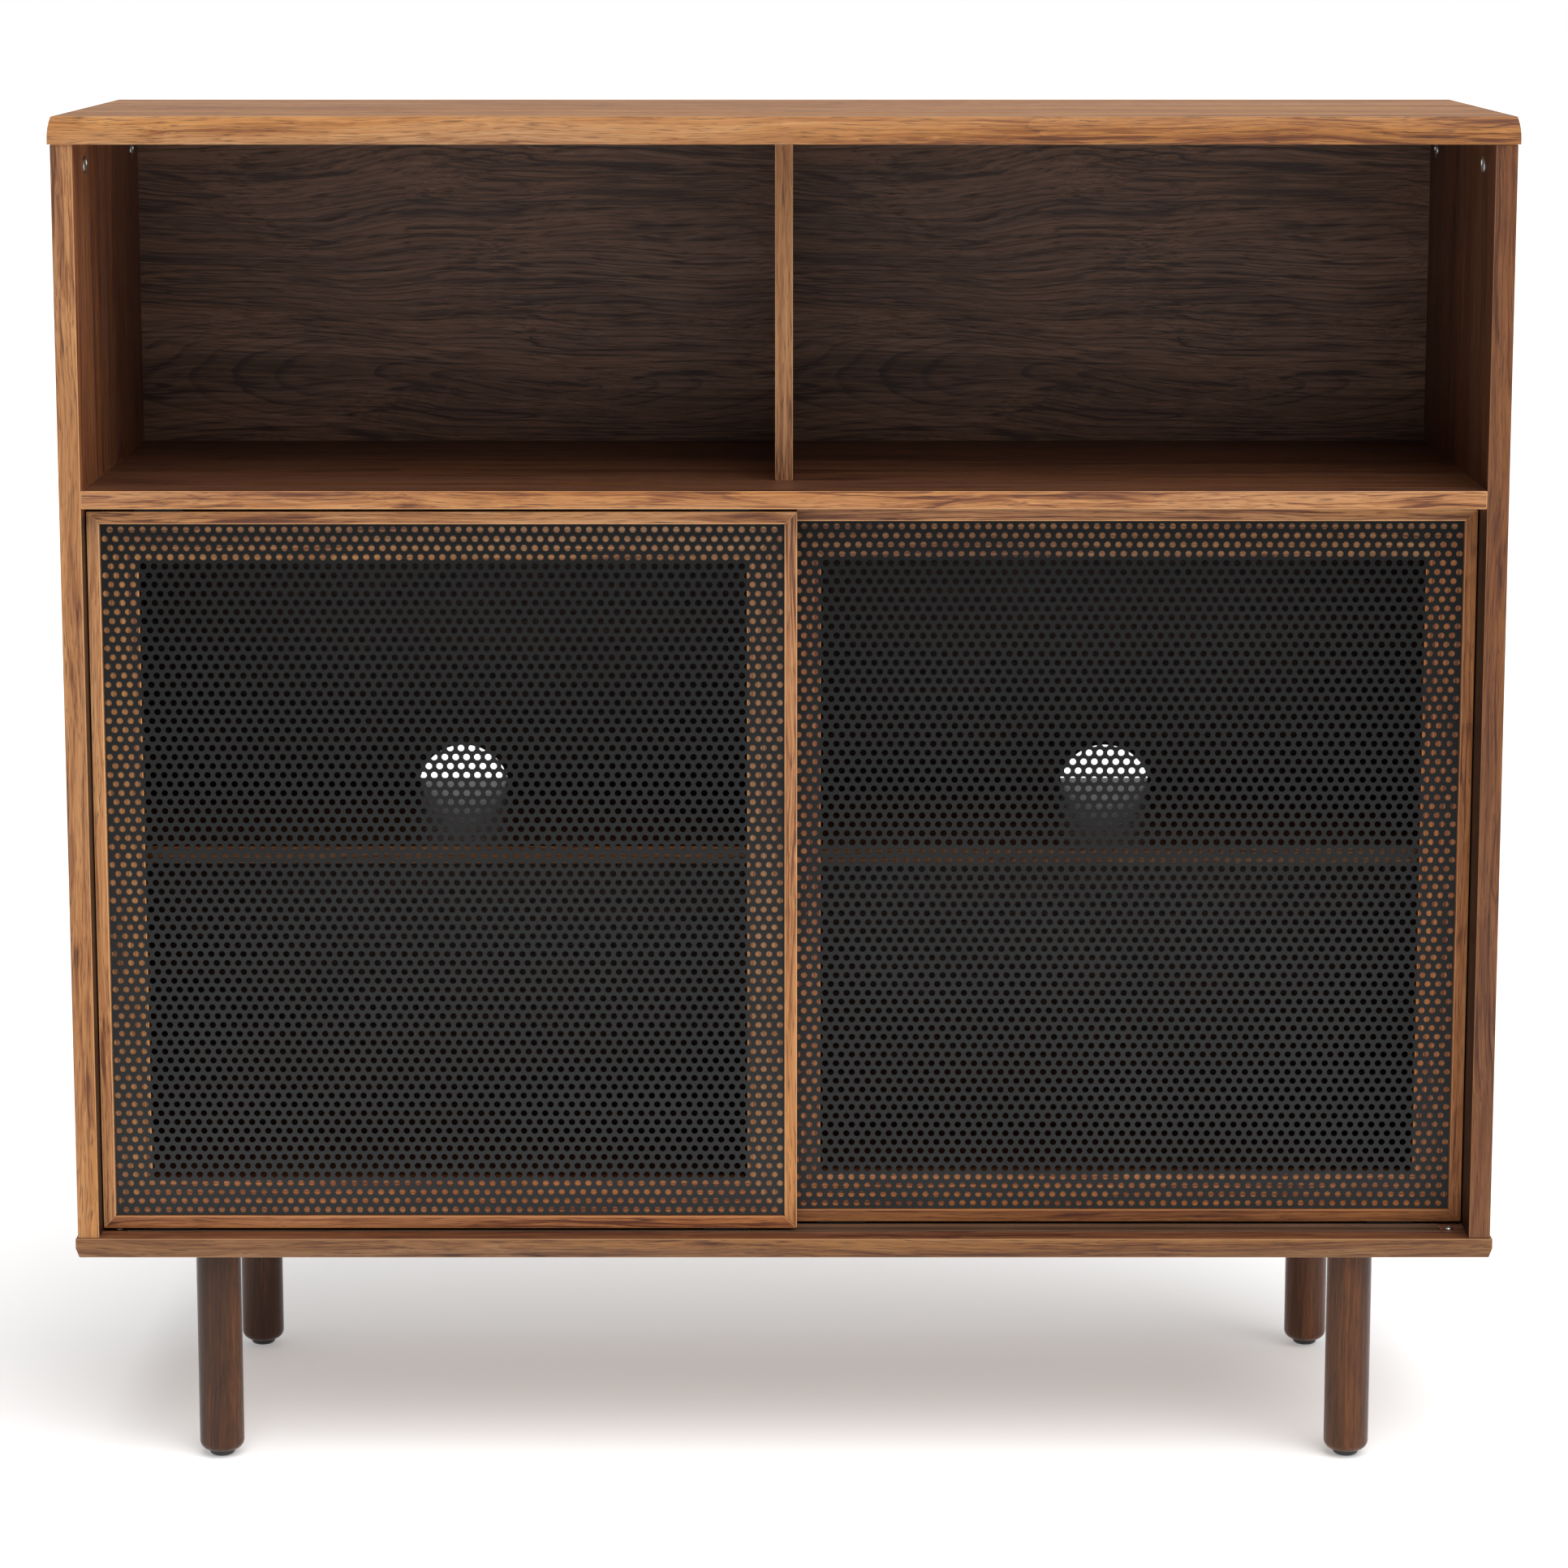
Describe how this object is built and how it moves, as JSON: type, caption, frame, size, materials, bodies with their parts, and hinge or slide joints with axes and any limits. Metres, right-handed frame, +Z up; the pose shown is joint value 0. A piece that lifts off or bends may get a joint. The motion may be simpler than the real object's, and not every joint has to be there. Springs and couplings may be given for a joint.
{
  "type": "media cabinet",
  "caption": "Free-standing media cabinet on round legs, with an open upper tier over shelved bays behind sliding framed doors of perforated sheet.",
  "frame": {"origin": "on the floor under the middle of the cabinet's bounding box", "axes": "+X to the right seen from the front, along the width; +Y from the front to the back; +Z up"},
  "size_m": [1.2, 0.4, 1.145],
  "materials": {
    "walnut_board": "satin walnut-look laminate on board, brown with darker and orange streaks along the grain",
    "walnut_back_board": "satin walnut-look print on thin board, grain across the width",
    "leg_wood": "dark stained wood, satin lacquer, grain along the leg",
    "black_perforated_sheet": "fine matte charcoal-black powder coat",
    "track_plastic": "brown extruded plastic",
    "glide_plastic": "black moulded plastic",
    "zinc": "bright zinc-plated metal"
  },
  "bodies": {
    "root": {"top_panel": "walnut_board", "bottom_panel": "walnut_board", "middle_shelf": "walnut_board", "upper_divider": "walnut_board", "lower_partition": "walnut_board", "side_panel_left": "walnut_board", "back_panel_left": "walnut_back_board", "inner_shelf_left": "walnut_board", "side_panel_right": "walnut_board", "back_panel_right": "walnut_back_board", "inner_shelf_right": "walnut_board", "shelf_pin_left_outer_front": "zinc", "shelf_pin_left_outer_rear": "zinc", "shelf_pin_left_inner_front": "zinc", "shelf_pin_left_inner_rear": "zinc", "shelf_pin_right_outer_front": "zinc", "shelf_pin_right_outer_rear": "zinc", "shelf_pin_right_inner_front": "zinc", "shelf_pin_right_inner_rear": "zinc", "cam_lock_left_front": "zinc", "cam_lock_left_rear": "zinc", "cam_lock_right_front": "zinc", "cam_lock_right_rear": "zinc", "lower_track_front": "track_plastic", "upper_track_front": "track_plastic", "lower_track_rear": "track_plastic", "upper_track_rear": "track_plastic", "track_stop_screw_left": "zinc", "track_stop_screw_right": "zinc", "leg_front_left": "leg_wood", "leg_glide_front_left": "glide_plastic", "leg_bolt_front_left": "zinc", "leg_rear_left": "leg_wood", "leg_glide_rear_left": "glide_plastic", "leg_bolt_rear_left": "zinc", "leg_front_right": "leg_wood", "leg_glide_front_right": "glide_plastic", "leg_bolt_front_right": "zinc", "leg_rear_right": "leg_wood", "leg_glide_rear_right": "glide_plastic", "leg_bolt_rear_right": "zinc"},
    "front_door": {"front_door_stile_left": "walnut_board", "front_door_stile_right": "walnut_board", "front_door_rail_lower": "walnut_board", "front_door_rail_upper": "walnut_board", "front_door_perforated_sheet": "black_perforated_sheet", "front_door_lower_guide_left": "glide_plastic", "front_door_upper_guide_left": "glide_plastic", "front_door_lower_guide_right": "glide_plastic", "front_door_upper_guide_right": "glide_plastic"},
    "rear_door": {"rear_door_stile_left": "walnut_board", "rear_door_stile_right": "walnut_board", "rear_door_rail_lower": "walnut_board", "rear_door_rail_upper": "walnut_board", "rear_door_perforated_sheet": "black_perforated_sheet", "rear_door_lower_guide_left": "glide_plastic", "rear_door_upper_guide_left": "glide_plastic", "rear_door_lower_guide_right": "glide_plastic", "rear_door_upper_guide_right": "glide_plastic"}
  },
  "joints": [
    {"name": "front_door_slide", "type": "slide", "parent": "root", "child": "front_door", "axis": [1, 0, 0], "range_m": [0, 0.568]},
    {"name": "rear_door_slide", "type": "slide", "parent": "root", "child": "rear_door", "axis": [1, 0, 0], "range_m": [-0.568, 0]}
  ]
}
